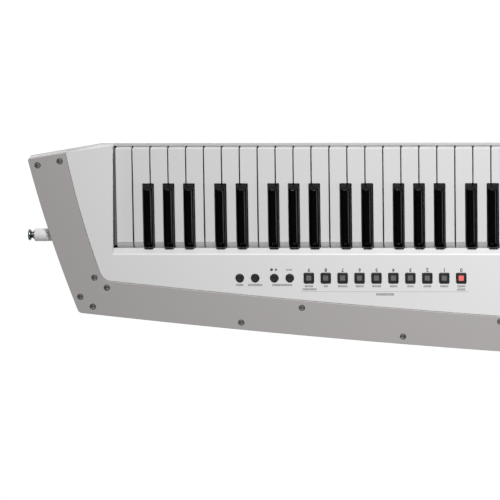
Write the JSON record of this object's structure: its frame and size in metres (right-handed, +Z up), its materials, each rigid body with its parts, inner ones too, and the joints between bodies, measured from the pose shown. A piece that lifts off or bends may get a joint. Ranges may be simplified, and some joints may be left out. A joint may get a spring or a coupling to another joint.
{
  "type": "keytar",
  "caption": "Keytar lying on its back: white tapered case with a neck, grey guard blade round one end and the lower edge, hinged piano keys along the front, push buttons and strap pins.",
  "frame": {"origin": "on the floor plane under the feet, below the middle of the bounding box", "axes": "+X along the instrument from its end to the tip of the neck; +Y across it, from the guard blade to the fronts of the keys; +Z up, out of the playing side"},
  "size_m": [1.2539, 0.2859, 0.0794],
  "materials": {
    "white_shell": "white injection-moulded ABS, satin",
    "grey_blade": "warm grey silk lacquer",
    "white_key": "white key plastic, semi-gloss",
    "black_key": "black key plastic, satin",
    "button": "black ABS and silicone, matt",
    "chassis": "grey moulded plastic",
    "contact_rubber": "dark silicone rubber",
    "circuit_board": "green solder mask",
    "pin_metal": "dark nickel plating"
  },
  "bodies": {
    "case": {"top_case": "white_shell", "bottom_case": "white_shell", "edge_blade": "grey_blade", "key_chassis": "chassis", "contact_strip": "contact_rubber", "control_board": "circuit_board", "battery_cover": "white_shell", "strap_pin_end": "pin_metal", "strap_pin_neck": "pin_metal"},
    "round_button_1": {"round_button_1": "button"},
    "round_button_2": {"round_button_2": "button"},
    "round_button_3": {"round_button_3": "button"},
    "round_button_4": {"round_button_4": "button"},
    "square_button_9": {"square_button_9": "button"},
    "square_button_8": {"square_button_8": "button"},
    "square_button_7": {"square_button_7": "button"},
    "square_button_6": {"square_button_6": "button"},
    "square_button_5": {"square_button_5": "button"},
    "square_button_4": {"square_button_4": "button"},
    "square_button_3": {"square_button_3": "button"},
    "square_button_2": {"square_button_2": "button"},
    "square_button_1": {"square_button_1": "button"},
    "square_button_0": {"square_button_0": "button"},
    "modulation_bar": {"modulation_bar": "button"},
    "key_c6": {"key_c6": "white_key"},
    "key_b5": {"key_b5": "white_key"},
    "key_a_sharp_5": {"key_a_sharp_5": "black_key"},
    "key_a5": {"key_a5": "white_key"},
    "key_g_sharp_5": {"key_g_sharp_5": "black_key"},
    "key_g5": {"key_g5": "white_key"},
    "key_f_sharp_5": {"key_f_sharp_5": "black_key"},
    "key_f5": {"key_f5": "white_key"},
    "key_e5": {"key_e5": "white_key"},
    "key_d_sharp_5": {"key_d_sharp_5": "black_key"},
    "key_d5": {"key_d5": "white_key"},
    "key_c_sharp_5": {"key_c_sharp_5": "black_key"},
    "key_c5": {"key_c5": "white_key"},
    "key_b4": {"key_b4": "white_key"},
    "key_a_sharp_4": {"key_a_sharp_4": "black_key"},
    "key_a4": {"key_a4": "white_key"},
    "key_g_sharp_4": {"key_g_sharp_4": "black_key"},
    "key_g4": {"key_g4": "white_key"},
    "key_f_sharp_4": {"key_f_sharp_4": "black_key"},
    "key_f4": {"key_f4": "white_key"},
    "key_e4": {"key_e4": "white_key"},
    "key_d_sharp_4": {"key_d_sharp_4": "black_key"},
    "key_d4": {"key_d4": "white_key"},
    "key_c_sharp_4": {"key_c_sharp_4": "black_key"},
    "key_c4": {"key_c4": "white_key"},
    "key_b3": {"key_b3": "white_key"},
    "key_a_sharp_3": {"key_a_sharp_3": "black_key"},
    "key_a3": {"key_a3": "white_key"},
    "key_g_sharp_3": {"key_g_sharp_3": "black_key"},
    "key_g3": {"key_g3": "white_key"},
    "key_f_sharp_3": {"key_f_sharp_3": "black_key"},
    "key_f3": {"key_f3": "white_key"},
    "key_e3": {"key_e3": "white_key"},
    "key_d_sharp_3": {"key_d_sharp_3": "black_key"},
    "lower_naturals": {"lower_naturals": "white_key"},
    "lower_sharps": {"lower_sharps": "black_key"}
  },
  "joints": [
    {"name": "round_button_1_press", "type": "slide", "parent": "case", "child": "round_button_1", "axis": [0, 0, -1], "range_m": [0, 0.0012], "stiffness_N_per_m": 250, "springref_m": -0.0015},
    {"name": "round_button_2_press", "type": "slide", "parent": "case", "child": "round_button_2", "axis": [0, 0, -1], "range_m": [0, 0.0012], "stiffness_N_per_m": 250, "springref_m": -0.0015},
    {"name": "round_button_3_press", "type": "slide", "parent": "case", "child": "round_button_3", "axis": [0, 0, -1], "range_m": [0, 0.0012], "stiffness_N_per_m": 250, "springref_m": -0.0015},
    {"name": "round_button_4_press", "type": "slide", "parent": "case", "child": "round_button_4", "axis": [0, 0, -1], "range_m": [0, 0.0012], "stiffness_N_per_m": 250, "springref_m": -0.0015},
    {"name": "square_button_9_press", "type": "slide", "parent": "case", "child": "square_button_9", "axis": [0, 0, -1], "range_m": [0, 0.0012], "stiffness_N_per_m": 250, "springref_m": -0.0015},
    {"name": "square_button_8_press", "type": "slide", "parent": "case", "child": "square_button_8", "axis": [0, 0, -1], "range_m": [0, 0.0012], "stiffness_N_per_m": 250, "springref_m": -0.0015},
    {"name": "square_button_7_press", "type": "slide", "parent": "case", "child": "square_button_7", "axis": [0, 0, -1], "range_m": [0, 0.0012], "stiffness_N_per_m": 250, "springref_m": -0.0015},
    {"name": "square_button_6_press", "type": "slide", "parent": "case", "child": "square_button_6", "axis": [0, 0, -1], "range_m": [0, 0.0012], "stiffness_N_per_m": 250, "springref_m": -0.0015},
    {"name": "square_button_5_press", "type": "slide", "parent": "case", "child": "square_button_5", "axis": [0, 0, -1], "range_m": [0, 0.0012], "stiffness_N_per_m": 250, "springref_m": -0.0015},
    {"name": "square_button_4_press", "type": "slide", "parent": "case", "child": "square_button_4", "axis": [0, 0, -1], "range_m": [0, 0.0012], "stiffness_N_per_m": 250, "springref_m": -0.0015},
    {"name": "square_button_3_press", "type": "slide", "parent": "case", "child": "square_button_3", "axis": [0, 0, -1], "range_m": [0, 0.0012], "stiffness_N_per_m": 250, "springref_m": -0.0015},
    {"name": "square_button_2_press", "type": "slide", "parent": "case", "child": "square_button_2", "axis": [0, 0, -1], "range_m": [0, 0.0012], "stiffness_N_per_m": 250, "springref_m": -0.0015},
    {"name": "square_button_1_press", "type": "slide", "parent": "case", "child": "square_button_1", "axis": [0, 0, -1], "range_m": [0, 0.0012], "stiffness_N_per_m": 250, "springref_m": -0.0015},
    {"name": "square_button_0_press", "type": "slide", "parent": "case", "child": "square_button_0", "axis": [0, 0, -1], "range_m": [0, 0.0012], "stiffness_N_per_m": 250, "springref_m": -0.0015},
    {"name": "modulation_bar_tilt", "type": "hinge", "parent": "case", "child": "modulation_bar", "pos_m": [0.35785, 0.045, 0.0729], "axis": [0, 1, 0], "range_deg": [0, 1.96], "stiffness_Nm_per_rad": 0.8, "springref_deg": -6.88},
    {"name": "key_c6_press", "type": "hinge", "parent": "case", "child": "key_c6", "pos_m": [0, -0.0354, 0.056], "axis": [-1, 0, 0], "range_deg": [0, 2.96], "stiffness_Nm_per_rad": 0.6, "springref_deg": -8.59},
    {"name": "key_b5_press", "type": "hinge", "parent": "case", "child": "key_b5", "pos_m": [0, -0.0354, 0.056], "axis": [-1, 0, 0], "range_deg": [0, 2.96], "stiffness_Nm_per_rad": 0.6, "springref_deg": -8.59},
    {"name": "key_a_sharp_5_press", "type": "hinge", "parent": "case", "child": "key_a_sharp_5", "pos_m": [0, -0.0354, 0.056], "axis": [-1, 0, 0], "range_deg": [0, 2.96], "stiffness_Nm_per_rad": 0.6, "springref_deg": -8.59},
    {"name": "key_a5_press", "type": "hinge", "parent": "case", "child": "key_a5", "pos_m": [0, -0.0354, 0.056], "axis": [-1, 0, 0], "range_deg": [0, 2.96], "stiffness_Nm_per_rad": 0.6, "springref_deg": -8.59},
    {"name": "key_g_sharp_5_press", "type": "hinge", "parent": "case", "child": "key_g_sharp_5", "pos_m": [0, -0.0354, 0.056], "axis": [-1, 0, 0], "range_deg": [0, 2.96], "stiffness_Nm_per_rad": 0.6, "springref_deg": -8.59},
    {"name": "key_g5_press", "type": "hinge", "parent": "case", "child": "key_g5", "pos_m": [0, -0.0354, 0.056], "axis": [-1, 0, 0], "range_deg": [0, 2.96], "stiffness_Nm_per_rad": 0.6, "springref_deg": -8.59},
    {"name": "key_f_sharp_5_press", "type": "hinge", "parent": "case", "child": "key_f_sharp_5", "pos_m": [0, -0.0354, 0.056], "axis": [-1, 0, 0], "range_deg": [0, 2.96], "stiffness_Nm_per_rad": 0.6, "springref_deg": -8.59},
    {"name": "key_f5_press", "type": "hinge", "parent": "case", "child": "key_f5", "pos_m": [0, -0.0354, 0.056], "axis": [-1, 0, 0], "range_deg": [0, 2.96], "stiffness_Nm_per_rad": 0.6, "springref_deg": -8.59},
    {"name": "key_e5_press", "type": "hinge", "parent": "case", "child": "key_e5", "pos_m": [0, -0.0354, 0.056], "axis": [-1, 0, 0], "range_deg": [0, 2.96], "stiffness_Nm_per_rad": 0.6, "springref_deg": -8.59},
    {"name": "key_d_sharp_5_press", "type": "hinge", "parent": "case", "child": "key_d_sharp_5", "pos_m": [0, -0.0354, 0.056], "axis": [-1, 0, 0], "range_deg": [0, 2.96], "stiffness_Nm_per_rad": 0.6, "springref_deg": -8.59},
    {"name": "key_d5_press", "type": "hinge", "parent": "case", "child": "key_d5", "pos_m": [0, -0.0354, 0.056], "axis": [-1, 0, 0], "range_deg": [0, 2.96], "stiffness_Nm_per_rad": 0.6, "springref_deg": -8.59},
    {"name": "key_c_sharp_5_press", "type": "hinge", "parent": "case", "child": "key_c_sharp_5", "pos_m": [0, -0.0354, 0.056], "axis": [-1, 0, 0], "range_deg": [0, 2.96], "stiffness_Nm_per_rad": 0.6, "springref_deg": -8.59},
    {"name": "key_c5_press", "type": "hinge", "parent": "case", "child": "key_c5", "pos_m": [0, -0.0354, 0.056], "axis": [-1, 0, 0], "range_deg": [0, 2.96], "stiffness_Nm_per_rad": 0.6, "springref_deg": -8.59},
    {"name": "key_b4_press", "type": "hinge", "parent": "case", "child": "key_b4", "pos_m": [0, -0.0354, 0.056], "axis": [-1, 0, 0], "range_deg": [0, 2.96], "stiffness_Nm_per_rad": 0.6, "springref_deg": -8.59},
    {"name": "key_a_sharp_4_press", "type": "hinge", "parent": "case", "child": "key_a_sharp_4", "pos_m": [0, -0.0354, 0.056], "axis": [-1, 0, 0], "range_deg": [0, 2.96], "stiffness_Nm_per_rad": 0.6, "springref_deg": -8.59},
    {"name": "key_a4_press", "type": "hinge", "parent": "case", "child": "key_a4", "pos_m": [0, -0.0354, 0.056], "axis": [-1, 0, 0], "range_deg": [0, 2.96], "stiffness_Nm_per_rad": 0.6, "springref_deg": -8.59},
    {"name": "key_g_sharp_4_press", "type": "hinge", "parent": "case", "child": "key_g_sharp_4", "pos_m": [0, -0.0354, 0.056], "axis": [-1, 0, 0], "range_deg": [0, 2.96], "stiffness_Nm_per_rad": 0.6, "springref_deg": -8.59},
    {"name": "key_g4_press", "type": "hinge", "parent": "case", "child": "key_g4", "pos_m": [0, -0.0354, 0.056], "axis": [-1, 0, 0], "range_deg": [0, 2.96], "stiffness_Nm_per_rad": 0.6, "springref_deg": -8.59},
    {"name": "key_f_sharp_4_press", "type": "hinge", "parent": "case", "child": "key_f_sharp_4", "pos_m": [0, -0.0354, 0.056], "axis": [-1, 0, 0], "range_deg": [0, 2.96], "stiffness_Nm_per_rad": 0.6, "springref_deg": -8.59},
    {"name": "key_f4_press", "type": "hinge", "parent": "case", "child": "key_f4", "pos_m": [0, -0.0354, 0.056], "axis": [-1, 0, 0], "range_deg": [0, 2.96], "stiffness_Nm_per_rad": 0.6, "springref_deg": -8.59},
    {"name": "key_e4_press", "type": "hinge", "parent": "case", "child": "key_e4", "pos_m": [0, -0.0354, 0.056], "axis": [-1, 0, 0], "range_deg": [0, 2.96], "stiffness_Nm_per_rad": 0.6, "springref_deg": -8.59},
    {"name": "key_d_sharp_4_press", "type": "hinge", "parent": "case", "child": "key_d_sharp_4", "pos_m": [0, -0.0354, 0.056], "axis": [-1, 0, 0], "range_deg": [0, 2.96], "stiffness_Nm_per_rad": 0.6, "springref_deg": -8.59},
    {"name": "key_d4_press", "type": "hinge", "parent": "case", "child": "key_d4", "pos_m": [0, -0.0354, 0.056], "axis": [-1, 0, 0], "range_deg": [0, 2.96], "stiffness_Nm_per_rad": 0.6, "springref_deg": -8.59},
    {"name": "key_c_sharp_4_press", "type": "hinge", "parent": "case", "child": "key_c_sharp_4", "pos_m": [0, -0.0354, 0.056], "axis": [-1, 0, 0], "range_deg": [0, 2.96], "stiffness_Nm_per_rad": 0.6, "springref_deg": -8.59},
    {"name": "key_c4_press", "type": "hinge", "parent": "case", "child": "key_c4", "pos_m": [0, -0.0354, 0.056], "axis": [-1, 0, 0], "range_deg": [0, 2.96], "stiffness_Nm_per_rad": 0.6, "springref_deg": -8.59},
    {"name": "key_b3_press", "type": "hinge", "parent": "case", "child": "key_b3", "pos_m": [0, -0.0354, 0.056], "axis": [-1, 0, 0], "range_deg": [0, 2.96], "stiffness_Nm_per_rad": 0.6, "springref_deg": -8.59},
    {"name": "key_a_sharp_3_press", "type": "hinge", "parent": "case", "child": "key_a_sharp_3", "pos_m": [0, -0.0354, 0.056], "axis": [-1, 0, 0], "range_deg": [0, 2.96], "stiffness_Nm_per_rad": 0.6, "springref_deg": -8.59},
    {"name": "key_a3_press", "type": "hinge", "parent": "case", "child": "key_a3", "pos_m": [0, -0.0354, 0.056], "axis": [-1, 0, 0], "range_deg": [0, 2.96], "stiffness_Nm_per_rad": 0.6, "springref_deg": -8.59},
    {"name": "key_g_sharp_3_press", "type": "hinge", "parent": "case", "child": "key_g_sharp_3", "pos_m": [0, -0.0354, 0.056], "axis": [-1, 0, 0], "range_deg": [0, 2.96], "stiffness_Nm_per_rad": 0.6, "springref_deg": -8.59},
    {"name": "key_g3_press", "type": "hinge", "parent": "case", "child": "key_g3", "pos_m": [0, -0.0354, 0.056], "axis": [-1, 0, 0], "range_deg": [0, 2.96], "stiffness_Nm_per_rad": 0.6, "springref_deg": -8.59},
    {"name": "key_f_sharp_3_press", "type": "hinge", "parent": "case", "child": "key_f_sharp_3", "pos_m": [0, -0.0354, 0.056], "axis": [-1, 0, 0], "range_deg": [0, 2.96], "stiffness_Nm_per_rad": 0.6, "springref_deg": -8.59},
    {"name": "key_f3_press", "type": "hinge", "parent": "case", "child": "key_f3", "pos_m": [0, -0.0354, 0.056], "axis": [-1, 0, 0], "range_deg": [0, 2.96], "stiffness_Nm_per_rad": 0.6, "springref_deg": -8.59},
    {"name": "key_e3_press", "type": "hinge", "parent": "case", "child": "key_e3", "pos_m": [0, -0.0354, 0.056], "axis": [-1, 0, 0], "range_deg": [0, 2.96], "stiffness_Nm_per_rad": 0.6, "springref_deg": -8.59},
    {"name": "key_d_sharp_3_press", "type": "hinge", "parent": "case", "child": "key_d_sharp_3", "pos_m": [0, -0.0354, 0.056], "axis": [-1, 0, 0], "range_deg": [0, 2.96], "stiffness_Nm_per_rad": 0.6, "springref_deg": -8.59},
    {"name": "lower_naturals_press", "type": "hinge", "parent": "case", "child": "lower_naturals", "pos_m": [0, -0.0354, 0.056], "axis": [-1, 0, 0], "range_deg": [0, 2.96], "stiffness_Nm_per_rad": 3, "springref_deg": -8.59},
    {"name": "lower_sharps_press", "type": "hinge", "parent": "case", "child": "lower_sharps", "pos_m": [0, -0.0354, 0.056], "axis": [-1, 0, 0], "range_deg": [0, 2.96], "stiffness_Nm_per_rad": 3, "springref_deg": -8.59}
  ]
}
